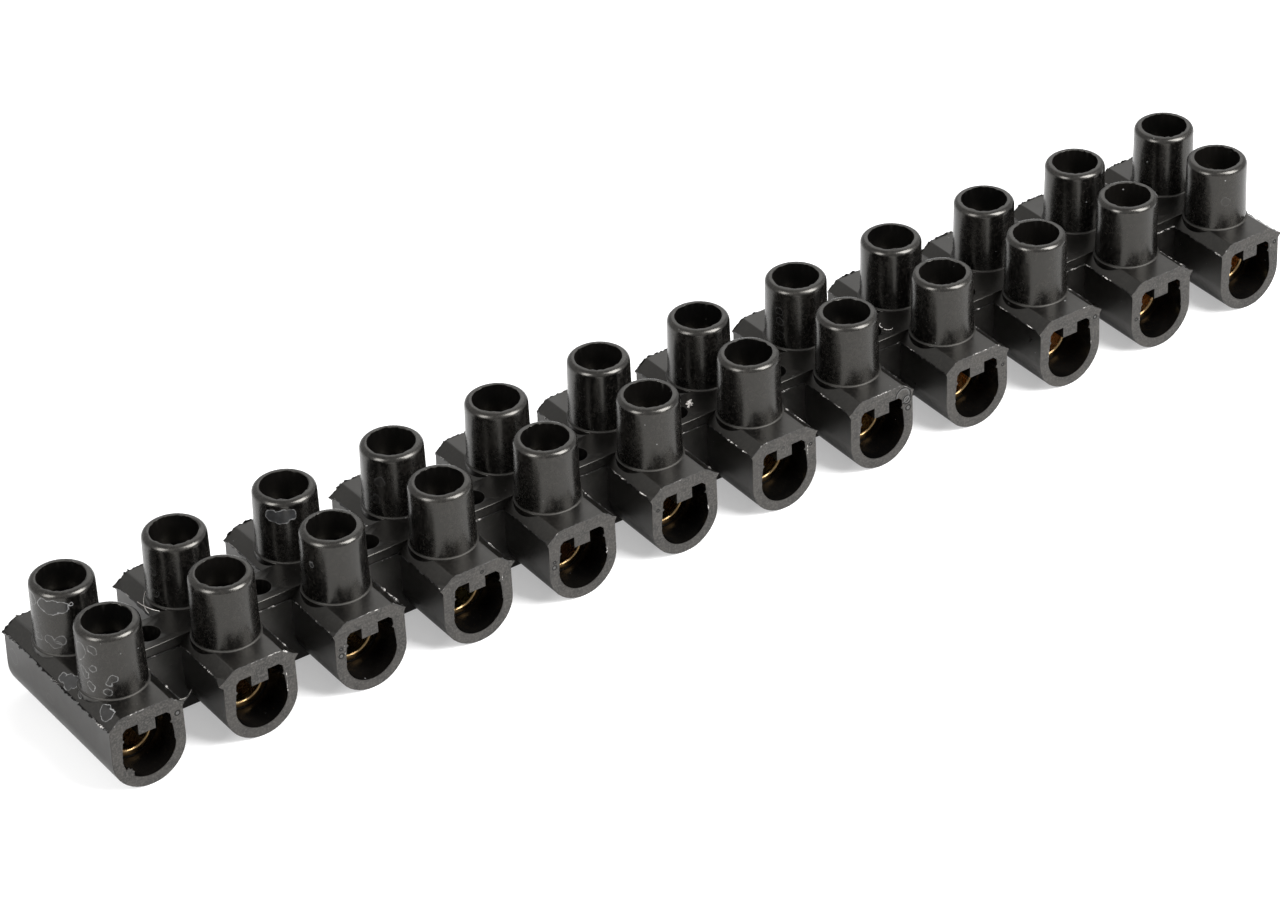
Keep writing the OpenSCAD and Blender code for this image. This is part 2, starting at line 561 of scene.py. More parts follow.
@dataclass(frozen=True)
class SawnFinish:
    """Nylon at the sawn ends of the barrels: matte, paler, with small round pits, whose grooves carry
    painted shade and whose inner rings carry a painted highlight.
    """

    name: str = "sawn_nylon"
    tone: float = 0.011
    roughness: float = 0.55
    ior: float = 1.5
    tint: Colour = (1.0, 0.98, 0.94, 1.0)

    def make(self) -> bpy.types.Material:
        """Builds the material.

        Returns:
            The finished material.
        """
        s = Sheet(bpy.data.materials.new(self.name))
        place = s.place()
        patch = s.noise(place, 1.1, distortion=0.4)
        grain = s.noise(place, 0.24, roughness=0.65)
        stroke = s.noise(s.place((0.12, 1.0, 2.5)), 0.35)
        pit, rim = self.pits(s, place)
        tone = s.mix(s.ramp(patch, 0.35, 0.65), grey(self.tone * 0.25, 0.12), grey(self.tone * 1.5, 0.1))
        tone = s.mix(s.times(s.ramp(grain, 0.46, 0.62), 0.8), tone, grey(self.tone * 3.6, 0.08))
        # Painted shade: each pit's groove is darkened to near black. Painted highlight: a pale ring just
        # inside each pit.
        tone = s.mix(s.times(rim, 0.7), s.mix(pit, tone, grey(0.001)), grey(0.07))
        rough = s.ramp(s.plus(patch, stroke), 0.7, 1.3, self.roughness - 0.1, self.roughness + 0.12)
        rough = s.plus(rough, s.times(pit, 0.4))
        height = s.plus(s.times(grain, 1.3), s.times(stroke, 0.8))
        height = s.math("SUBTRACT", height, s.times(pit, 6.0))
        return s.surface(tone, rough, height, {"IOR": self.ior, "Specular Tint": self.tint})

    @staticmethod
    def pits(s: Sheet, place: Socket) -> tuple[Socket, Socket]:
        """Sinks the pits.

        Args:
            s: the sheet that gets the nodes.
            place: the place on the piece.

        Returns:
            How deep each pit's groove is, which also sets the painted shade in it, and how strong the
            painted highlight on its inner ring is, from 0 to 1.
        """
        groove, rim = None, None
        for mark in sawn_pits():
            away = outline(s, place, mark)
            # Painted shade in the groove at each pit's outline.
            dark = s.ramp(s.math("ABSOLUTE", away), 0.05, 0.13, 1.0, 0.0)
            # Painted highlight on a ring 0.16 mm inside each pit's outline.
            light = s.ramp(s.math("ABSOLUTE", s.plus(away, 0.16)), 0.03, 0.09, 1.0, 0.0)
            groove, rim = s.either(groove, dark), s.either(rim, light)
        return groove, rim


@dataclass(frozen=True)
class TornFinish:
    """Torn nylon on flash, burrs and scraps: thin and stretched, with pale patches; on the flash and
    burrs these are painted glints along with some whitened nylon, on the scraps they are the scraps' own
    white.
    """

    name: str = "torn_nylon"
    dark: float = 0.004
    # Tone of the pale patches: painted glints on the flash and burrs, the scraps' own white on the
    # scraps.
    pale: float = 0.4
    share: float = 0.5
    ior: float = 1.4

    def make(self) -> bpy.types.Material:
        """Builds the material.

        Returns:
            The finished material.
        """
        s = Sheet(bpy.data.materials.new(self.name))
        place = s.place()
        patch = s.noise(place, 1.4, detail=2.0)
        fine = s.noise(place, 0.25, distortion=0.4)
        start = 0.75 - 0.4 * self.share
        # Pale patches: painted glints of light on torn edges, with some whitened nylon.
        pale = s.times(s.ramp(patch, start, start + 0.12), s.ramp(fine, 0.4, 0.6))
        tone = s.mix(pale, grey(self.dark, 0.06), grey(self.pale, 0.04))
        return s.surface(tone, s.ramp(fine, 0.3, 0.7, 0.25, 0.5), fine, {"IOR": self.ior})


@dataclass(frozen=True)
class BrassFinish:
    """Turned brass with tool rings, a darker, tarnished bore, painted shade over the right side of each
    sleeve, and an end face darkened partly by tarnish and partly by painted shade.
    """

    name: str = "turned_brass"
    bright: Colour = (0.55, 0.42, 0.22, 1.0)
    tarnish: Colour = (0.2, 0.13, 0.07, 1.0)
    bore: Colour = (0.25, 0.15, 0.08, 1.0)
    bore_tint: Colour = (0.19, 0.165, 0.07, 1.0)
    bore_towards_plus_x: Colour = (0.62, 0.42, 0.22, 1.0)
    # Dark brown of each sleeve's end face beyond its lip, partly tarnish and partly painted shade; also
    # the colour of the painted shade on each sleeve's right side.
    face: Colour = (0.13, 0.08, 0.035, 1.0)
    bore_r_mm: float = 2.1
    lip_mm: float = 0.3

    def make(self) -> bpy.types.Material:
        """Builds the material.

        Returns:
            The finished material.
        """
        s = Sheet(bpy.data.materials.new(self.name))
        place = s.place()
        rings = s.noise(s.place((0.25, 6.0, 0.25)), 0.5)
        patch = s.noise(place, 0.9, distortion=0.5)
        tone = s.mix(s.ramp(patch, 0.4, 0.75), self.bright, self.tarnish)
        inside = s.mix(s.ramp(s.noise(place, 14.0, detail=1.0), 0.4, 0.6), self.bore, self.bore_tint)
        along = s.node("ShaderNodeSeparateXYZ", {0: place}).outputs["X"]
        # The bores grow brighter along +X, towards the last barrels.
        inside = s.mix(s.ramp(along, -5.0 * MM, 45.0 * MM), inside, self.bore_towards_plus_x)
        across, radius = self.polar(s, place)
        # Painted shade: each sleeve's right side, from 0.2 mm left of its axis on, is darkened towards
        # the end-face brown.
        tone = s.mix(s.ramp(across, -1.3, -0.2, 0.0, 0.85), tone, self.face)
        lip = self.bore_r_mm + self.lip_mm
        # Beyond the bright lip the end face takes the dark brown, partly tarnish and partly painted
        # shade.
        tone = s.mix(s.ramp(radius, lip - 0.06, lip + 0.04), tone, self.face)
        tone = s.mix(s.ramp(radius, self.bore_r_mm + 0.01, self.bore_r_mm + 0.05, 1.0, 0.0), tone, inside)
        rough = s.ramp(s.plus(patch, rings), 0.7, 1.3, 0.18, 0.36)
        return s.surface(tone, rough, rings, {"Metallic": 1.0}, 0.4, 0.01)

    def polar(self, s: Sheet, place: Socket) -> tuple[Socket, Socket]:
        """Measures where a place lies from its sleeve's axis.

        Args:
            s: the sheet that gets the nodes.
            place: the place on the piece.

        Returns:
            How far it lies along the strip, and how far in all, in millimetres.
        """
        xyz = s.node("ShaderNodeSeparateXYZ", {0: place}).outputs
        half = LAYOUT.pitch / 2 * MM
        across = s.math("SUBTRACT", s.math("FLOORED_MODULO", xyz["X"], 2 * half), half)
        up = s.math("SUBTRACT", xyz["Z"], LAYOUT.axis_z * MM)
        squares = s.plus(s.times(across, across), s.times(up, up))
        return s.times(across, 1 / MM), s.times(s.math("SQRT", squares), 1 / MM)


@dataclass(frozen=True)
class ScrewFinish:
    """Zinc-plated steel with drawn scratches and grey staining."""

    name: str = "zinc_plated_steel"
    bright: Colour = (0.36, 0.34, 0.30, 1.0)
    stained: Colour = (0.13, 0.115, 0.09, 1.0)

    def make(self) -> bpy.types.Material:
        """Builds the material.

        Returns:
            The finished material.
        """
        s = Sheet(bpy.data.materials.new(self.name))
        place = s.place()
        patch = s.noise(place, 0.8, detail=4.0, distortion=0.8)
        scratch = s.noise(s.place((4.0, 0.4, 0.4)), 0.4, detail=2.0)
        tone = s.mix(s.ramp(patch, 0.42, 0.72), self.bright, self.stained)
        rough = s.ramp(s.plus(patch, scratch), 0.7, 1.3, 0.24, 0.46)
        return s.surface(tone, rough, scratch, {"Metallic": 1.0}, 0.4, 0.01)


# --------------------------------------------------------------------- studio


@dataclass(frozen=True)
class Softbox:
    """A soft lamp: where it hangs, how large it is and how strong."""

    name: str
    place_mm: Triple
    size_mm: tuple[float, float]
    power: float

    def hang(self, aim: Vector) -> None:
        """Adds the lamp, turned towards the object.

        Args:
            aim: the point that it faces, in metres.
        """
        data = bpy.data.lights.new(self.name, "AREA")
        data.shape = "RECTANGLE"
        data.size, data.size_y = (v * MM for v in self.size_mm)
        data.energy = self.power
        lamp = bpy.data.objects.new(self.name, data)
        bpy.context.scene.collection.objects.link(lamp)
        lamp.location = Vector(self.place_mm) * MM
        lamp.rotation_euler = (aim - lamp.location).to_track_quat("-Z", "Y").to_euler()


@dataclass(frozen=True)
class Studio:
    """White floor and surroundings, soft overhead lamps and the camera."""

    azimuth_deg: float = -33.7404
    elevation_deg: float = 34.1215
    roll_deg: float = -2.3163
    lens_mm: float = 133.388
    aim_mm: Triple = (-6.123, -2.379, 8.111)
    distance_mm: float = 482.282
    sensor_mm: float = 36.0
    floor_half_mm: float = 2500.0
    floor_z_mm: float = -0.02
    surround: float = 0.5
    floor_tone: float = 0.6
    floor_lift: float = 0.4
    floor_gloss_share: float = 0.3
    lamp_aim_mm: Triple = (0.0, 0.0, 8.0)
    lamps: tuple[Softbox, ...] = (
        Softbox("left_softbox", (-470.0, -65.0, 290.0), (220.0, 360.0), 3.0),
        Softbox("right_softbox", (215.0, -330.0, 390.0), (300.0, 430.0), 8.0),
        Softbox("far_softbox", (284.0, 315.0, 424.0), (450.0, 450.0), 0.6),
    )

    def build(self) -> None:
        """Builds everything round the object."""
        self.place_camera()
        self.make_floor()
        self.light_surroundings()
        for lamp in self.lamps:
            lamp.hang(Vector(self.lamp_aim_mm) * MM)
        bpy.context.scene.view_settings.view_transform = "Standard"
        log.info("studio: %d lamps, floor and camera", len(self.lamps))

    def place_camera(self) -> None:
        """Adds the camera at its angle, distance and tilt."""
        a, e = math.radians(self.azimuth_deg), math.radians(self.elevation_deg)
        back = Vector((math.sin(a) * math.cos(e), -math.cos(a) * math.cos(e), math.sin(e)))
        data = bpy.data.cameras.new("camera")
        data.lens = self.lens_mm
        data.sensor_width = self.sensor_mm
        data.clip_start, data.clip_end = 0.01, 20.0
        camera = bpy.data.objects.new("camera", data)
        bpy.context.scene.collection.objects.link(camera)
        turn = (-back).to_track_quat("-Z", "Y").to_matrix().to_4x4()
        roll = Matrix.Rotation(math.radians(self.roll_deg), 4, "Z")
        at = Vector(self.aim_mm) * MM + back * self.distance_mm * MM
        camera.matrix_world = Matrix.Translation(at) @ turn @ roll
        bpy.context.scene.camera = camera

    def make_floor(self) -> None:
        """Adds the pale floor, which keeps the object's soft shadow."""
        where = (0, 0, self.floor_z_mm * MM)
        bpy.ops.mesh.primitive_plane_add(size=2 * self.floor_half_mm * MM, location=where)
        floor = bpy.context.object
        floor.name = "floor"
        s = Sheet(bpy.data.materials.new("pale_floor"))
        path = s.node("ShaderNodeLightPath").outputs
        mirrored = s.either(path["Is Glossy Ray"], path["Is Transmission Ray"])
        seen = s.either(path["Is Camera Ray"], s.times(mirrored, self.floor_gloss_share))
        place = s.place()
        tone = s.mix(s.noise(place, 40.0), grey(self.floor_tone), grey(self.floor_tone * 1.02))
        matte = s.node("ShaderNodeBsdfDiffuse", {"Color": tone}).outputs[0]
        glow = {"Color": grey(1.0), "Strength": s.times(seen, self.floor_lift)}
        lift = s.node("ShaderNodeEmission", glow).outputs[0]
        both = s.node("ShaderNodeAddShader", {0: matte, 1: lift}).outputs[0]
        floor.data.materials.append(s.finish(both))

    def light_surroundings(self) -> None:
        """Makes the world white to look at, and a plain soft level for light."""
        world = bpy.data.worlds.new("white_room")
        s = Sheet(world)
        path = s.node("ShaderNodeLightPath").outputs
        seen = s.either(path["Is Camera Ray"], path["Is Glossy Ray"])
        seen = s.either(seen, path["Is Transmission Ray"])
        level = s.node("ShaderNodeMapRange", {"Value": seen, "To Min": self.surround, "To Max": 1.0})
        room = s.node("ShaderNodeBackground", {"Strength": level.outputs[0]})
        s.node("ShaderNodeOutputWorld", {0: room.outputs[0]})
        bpy.context.scene.world = world


# ------------------------------------------------------------------- modelling


def only(piece: bpy.types.Object) -> None:
    """Makes one object the active and only selected one."""
    for other in bpy.context.selected_objects:
        other.select_set(False)
    piece.select_set(True)
    bpy.context.view_layer.objects.active = piece


@contextmanager
def editing(piece: bpy.types.Object) -> Iterator[None]:
    """Opens a piece in edit mode with all of it selected, and closes it after."""
    only(piece)
    bpy.ops.object.mode_set(mode="EDIT")
    bpy.ops.mesh.select_all(action="SELECT")
    yield
    bpy.ops.object.mode_set(mode="OBJECT")


def press(piece: bpy.types.Object, kind: str, **settings: object) -> None:
    """Adds a modifier and applies it.

    Args:
        piece: the object that it shapes.
        kind: the modifier's type name.
        settings: the modifier's own settings.
    """
    only(piece)
    made = piece.modifiers.new(kind.lower(), kind)
    for name, value in settings.items():
        setattr(made, name, value)
    bpy.ops.object.modifier_apply(modifier=made.name)


def firm_normals(piece: bpy.types.Object, sharp_deg: float = SHARP_DEG) -> None:
    """Shades a piece smooth across its roundings and flat on its large faces.

    Args:
        piece: the piece.
        sharp_deg: angle past which an edge stays sharp.
    """
    only(piece)
    bpy.ops.object.shade_smooth_by_angle(angle=math.radians(sharp_deg))
    press(piece, "WEIGHTED_NORMAL", mode="FACE_AREA", weight=100, keep_sharp=True)


def mark_outer_edges(piece: bpy.types.Object, sharp_deg: float) -> None:
    """Marks the sharp edges that stick out, so that only those get rounded.

    Args:
        piece: the piece.
        sharp_deg: angle past which an edge counts as sharp.
    """
    mesh = piece.data
    sides: dict[tuple[int, int], list[int]] = {}
    for face in mesh.polygons:
        for key in face.edge_keys:
            sides.setdefault(key, []).append(face.index)
    weights = mesh.attributes.new("bevel_weight_edge", "FLOAT", "EDGE")
    for edge in mesh.edges:
        pair = sides.get(edge.key, [])
        if len(pair) != 2:
            continue
        one, two = (mesh.polygons[index] for index in pair)
        sharp = one.normal.angle(two.normal, 0.0) > math.radians(sharp_deg)
        middle = (mesh.vertices[edge.vertices[0]].co + mesh.vertices[edge.vertices[1]].co) / 2
        outer = (two.center - middle).dot(one.normal) < 0
        weights.data[edge.index].value = 1.0 if sharp and outer else 0.0


def softened_copy(node: str, name: str, edge_mm: float, sharp_deg: float = SHARP_DEG) -> bpy.types.Object:
    """Copies a CAD node and rounds its sharp edges a little, as on a real piece.

    Args:
        node: name of the CAD node.
        name: name of the new piece.
        edge_mm: width of the rounding.
        sharp_deg: angle past which an edge is rounded.

    Returns:
        The new piece, which replaces the node.
    """
    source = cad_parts[node]
    piece = bpy.data.objects.new(name, source.data.copy())
    bpy.context.scene.collection.objects.link(piece)
    only(piece)
    bpy.ops.mesh.customdata_custom_splitnormals_clear()
    flat, skew = math.radians(1), math.radians(60)
    with editing(piece):
        bpy.ops.mesh.remove_doubles(threshold=0.0005 * MM)
        bpy.ops.mesh.tris_convert_to_quads(face_threshold=flat, shape_threshold=skew)
    mark_outer_edges(piece, sharp_deg)
    press(
        piece,
        "BEVEL",
        width=edge_mm * MM,
        segments=2,
        limit_method="WEIGHT",
        use_clamp_overlap=False,
        miter_outer="MITER_ARC",
    )
    firm_normals(piece, sharp_deg)
    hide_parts(node)
    return piece


def primitive(kind: str, name: str, **settings: object) -> bpy.types.Object:
    """Adds a primitive shape, with its place, turn and scale kept in its mesh.

    Args:
        kind: which primitive.
        name: name of the piece.
        settings: the primitive's own settings.

    Returns:
        The new piece.
    """
    bpy.ops.object.select_all(action="DESELECT")
    getattr(bpy.ops.mesh, f"primitive_{kind}_add")(**settings)
    piece = bpy.context.object
    piece.name = name
    only(piece)
    bpy.ops.object.transform_apply(location=True, rotation=True, scale=True)
    return piece


def coat(piece: bpy.types.Object, *finishes: bpy.types.Material) -> None:
    """Gives a piece its finishes, in place of any that it has."""
    piece.data.materials.clear()
    for finish in finishes:
        piece.data.materials.append(finish)


def face_outwards(piece: bpy.types.Object) -> None:
    """Turns a closed piece's faces outwards."""
    with editing(piece):
        bpy.ops.mesh.normals_make_consistent(inside=False)


def stamp(piece: bpy.types.Object, name: str, place: Matrix | None = None) -> bpy.types.Object:
    """Copies a piece, with a mesh of its own, to a place.

    Args:
        piece: the piece to copy.
        name: name of the copy.
        place: where its mesh is moved to.

    Returns:
        The copy.
    """
    made = piece.copy()
    made.data = piece.data.copy()
    made.name = name
    bpy.context.scene.collection.objects.link(made)
    if place is not None:
        made.data.transform(place)
    return made


def weld(pieces: list[bpy.types.Object]) -> bpy.types.Object:
    """Joins pieces into the first of them.

    Args:
        pieces: the pieces to join.

    Returns:
        The joined piece.
    """
    only(pieces[0])
    for piece in pieces[1:]:
        piece.select_set(True)
    bpy.ops.object.join()
    return pieces[0]


def discard(piece: bpy.types.Object) -> None:
    """Removes a piece that was only a pattern for others."""
    mesh = piece.data
    bpy.data.objects.remove(piece)
    bpy.data.meshes.remove(mesh)


def weigh(piece: bpy.types.Object, name: str, rule: Callable[[Vector], float]) -> None:
    """Adds a vertex group whose weights follow a rule.

    Args:
        piece: the piece that gets the group.
        name: name of the group.
        rule: weight for a place in millimetres.
    """
    group = piece.vertex_groups.new(name=name)
    for vertex in piece.data.vertices:
        weight = min(max(rule(vertex.co / MM), 0.0), 1.0)
        if weight > 0:
            group.add([vertex.index], weight, "REPLACE")


def turned(at: Triple, tip: Triple, along: Triple) -> Matrix:
    """Place of a strip whose X points to its tip and whose Y runs along it.

    Args:
        at: middle of its root, in millimetres.
        tip: direction of its tip.
        along: direction of its length.

    Returns:
        The matrix that puts it there.
    """
    y = Vector(along).normalized()
    x = (Vector(tip) - y * Vector(tip).dot(y)).normalized()
    turn = Matrix((x, y, x.cross(y))).transposed().to_4x4()
    return Matrix.Translation(Vector(at) * MM) @ turn


def clouds(name: str, size_mm: float, contrast: float = 1.6) -> bpy.types.Texture:
    """Makes the rough pattern that tears an edge.

    Args:
        name: name of the pattern.
        size_mm: size of its features.
        contrast: how strongly it swings.

    Returns:
        The pattern.
    """
    made = bpy.data.textures.new(name, "CLOUDS")
    made.noise_scale = size_mm * MM
    made.noise_depth = 3
    made.contrast = contrast
    return made


# -------------------------------------------------------------------- moulding


@dataclass
class TornEdge:
    """A thin, ragged strip of nylon along an edge, in millimetres."""

    length: float
    root: float = 0.12
    reach: float = 0.05
    tear: float = 0.2
    droop: float = 0.08
    thickness: float = 0.09
    step: float = 0.14
    grain: float = 0.45

    def pattern(self) -> bpy.types.Object:
        """Models the untorn strip, with its tip towards +X.

        Returns:
            The strip, with weights for its tip and root.
        """
        steps = max(4, round(self.length / self.step))
        grid = {"x_subdivisions": 3, "y_subdivisions": steps, "size": 2 * MM}
        strip = primitive("grid", "torn_edge_pattern", **grid)
        with editing(strip):
            bpy.ops.transform.resize(value=((self.root + self.reach) / 2, self.length / 2, 1.0))
            bpy.ops.transform.translate(value=((self.reach - self.root) / 2 * MM, 0.0, 0.0))
        weigh(strip, "tip", lambda v: (v.x + self.root) / (self.root + self.reach) - 0.2)
        weigh(strip, "root", lambda v: 1.0 - 0.7 * (v.x + self.root) / (self.root + self.reach))
        return strip

    def tear_copies(self, places: list[tuple[Matrix, float]], first_seed: int) -> list[bpy.types.Object]:
        """Copies the strip to its places and tears each copy differently.

        Args:
            places: matrix of each copy, and how strongly it is torn.
            first_seed: number that picks the first copy's raggedness.

        Returns:
            The torn strips.
        """
        strip = self.pattern()
        rough = clouds("edge_tear", self.grain, 2.2)
        made = []
        for index, (place, strength) in enumerate(places):
            shift = Matrix.Translation(Vector((0.0, (first_seed + index) * 29.3, index * 1.7)) * MM)
            copy = stamp(strip, f"torn_edge_{first_seed + index}", shift)
            settings = {"texture": rough, "texture_coords": "LOCAL", "vertex_group": "tip"}
            pull, sag = self.tear * strength * MM, self.droop * MM
            press(copy, "DISPLACE", direction="X", strength=pull, mid_level=0.25, **settings)
            press(copy, "DISPLACE", direction="Z", strength=sag, mid_level=0.6, **settings)
            press(
                copy,
                "SOLIDIFY",
                thickness=self.thickness * MM,
                offset=0.0,
                vertex_group="root",
                thickness_vertex_group=0.25,
            )
            copy.data.transform(place @ shift.inverted())
            made.append(copy)
        discard(strip)
        return made


@dataclass
class Ear:
    """A pointed ear of nylon that the saw left at a barrel's corner, in millimetres."""

    top: float = 0.42
    below: float = 0.35
    depth: float = 0.95
    proud: float = 0.004

    def pattern(self) -> bpy.types.Object:
        """Models a small wedge, which its place then stretches.

        Returns:
            The wedge: a base triangle and a point.
        """
        return primitive("cone", "ear_pattern", vertices=3, radius1=MM, radius2=0.0, depth=MM)

    def place(
        self, pattern: bpy.types.Object, wall: Wall, end: Side, x_mm: float, reach: float
    ) -> Matrix:
        """Finds the matrix that stretches the wedge over a barrel's corner.

        Args:
            pattern: the wedge.
            wall: the side wall that it stands on.
            end: the end of the barrel.
            x_mm: place of the barrel.
            reach: how far the tip stands out from the wall.

        Returns:
            The matrix.
        """
        base = [v.co for v in pattern.data.vertices if v.co.z < 0]
        point = next(v.co for v in pattern.data.vertices if v.co.z > 0)
        half, z, y = LAYOUT.parting_half, LAYOUT.parting_z, LAYOUT.half_length + self.proud
        corners = [
            (half - self.top, y, z + self.top * 0.8),
            (half + reach, y, z - 0.25 * reach),
            (half - 0.03, y, z - self.below - 0.6 * reach),
            (half - 0.04, y - self.depth - reach, z + 0.02),
        ]
        goal = [Vector((x_mm + c[0] * wall.value, c[1] * end.value, c[2])) * MM for c in corners]
        origin = Matrix([(*v, 1.0) for v in (*base, point)]).transposed()
        target = Matrix([(*v, 1.0) for v in goal]).transposed()
        return target @ origin.inverted()


@dataclass
class Horn:
    """The long curled fin at the first barrel's front right corner, in millimetres."""

    root: Triple = (0.3, 0.28, 0.62)
    offset: Triple = (-0.25, 0.14, 0.1)
    moves: tuple[tuple[Triple, Triple], ...] = (
        ((0.36, 0.0, -0.02), (1.0, 0.9, 0.62)),
        ((0.34, 0.02, 0.1), (1.0, 0.85, 0.6)),
        ((0.3, 0.03, 0.22), (1.0, 0.8, 0.7)),
        ((0.2, 0.0, 0.26), (0.9, 0.8, 1.0)),
        ((0.12, -0.02, 0.2), (0.8, 0.8, 0.8)),
    )

    def build(self) -> bpy.types.Object:
        """Draws the fin out of a small block, step by step.

        Returns:
            The fin.
        """
        corner = (LAYOUT.x(1) + LAYOUT.parting_half, -LAYOUT.half_length, LAYOUT.parting_z)
        at = [(c + o) * MM for c, o in zip(corner, self.offset)]
        fin = primitive("cube", "horn", size=MM, location=at, scale=self.root)
        self.select_end(fin)
        bpy.ops.object.mode_set(mode="EDIT")
        for move, size in self.moves:
            step = {"value": [v * MM for v in move]}
            bpy.ops.mesh.extrude_region_move(TRANSFORM_OT_translate=step)
            bpy.ops.transform.resize(value=size)
        bpy.ops.object.mode_set(mode="OBJECT")
        press(fin, "SUBSURF", levels=2, render_levels=2)
        face_outwards(fin)
        return fin

    @staticmethod
    def select_end(block: bpy.types.Object) -> None:
        """Selects only the block's face towards +X."""
        bpy.ops.object.mode_set(mode="EDIT")
        bpy.ops.mesh.select_mode(type="FACE")
        bpy.ops.mesh.select_all(action="DESELECT")
        bpy.ops.object.mode_set(mode="OBJECT")
        for face in block.data.polygons:
            face.select = face.normal.x > 0.9


@dataclass(frozen=True)
class Zones:
    """Where the sawn ends, the mouths and the driver bores lie, in millimetres."""

    sawn_mm: float = 0.02
    mouth_half: float = 2.95
    mouth_floor_z: float = 1.0
    mouth_ceiling_z: float = 7.55
    mouth_lip: float = 0.06
    bore_r: float = 2.47
    bore_floor_z: float = 4.5
    bore_rim_z: float = 15.97

    def sawn(self, place: Vector, normal: Vector) -> bool:
        """Tells whether a face lies in one of the two flat ends.

        Args:
            place: middle of the face.
            normal: where the face looks.

        Returns:
            Whether it lies there.
        """
        return abs(normal.y) > 0.98 and abs(place.y) > LAYOUT.half_length - self.sawn_mm

    def holds(self, place: Vector, normal: Vector) -> bool:
        """Tells whether a face lies inside a mouth or a bore.

        Args:
            place: middle of the face.
            normal: where the face looks.

        Returns:
            Whether it lies inside.
        """
        x = place.x - LAYOUT.x(LAYOUT.pole(place.x))
        y = place.y - math.copysign(LAYOUT.turret_y, place.y)
        in_mouth = (
            abs(x) < self.mouth_half
            and self.mouth_floor_z < place.z < self.mouth_ceiling_z
            and abs(place.y) < LAYOUT.half_length - self.mouth_lip
        )
        inward = normal.x * x + normal.z * (place.z - LAYOUT.axis_z) < 0 or abs(normal.y) > 0.9
        in_bore = math.hypot(x, y) < self.bore_r and self.bore_floor_z < place.z < self.bore_rim_z
        return (in_mouth and inward) or in_bore


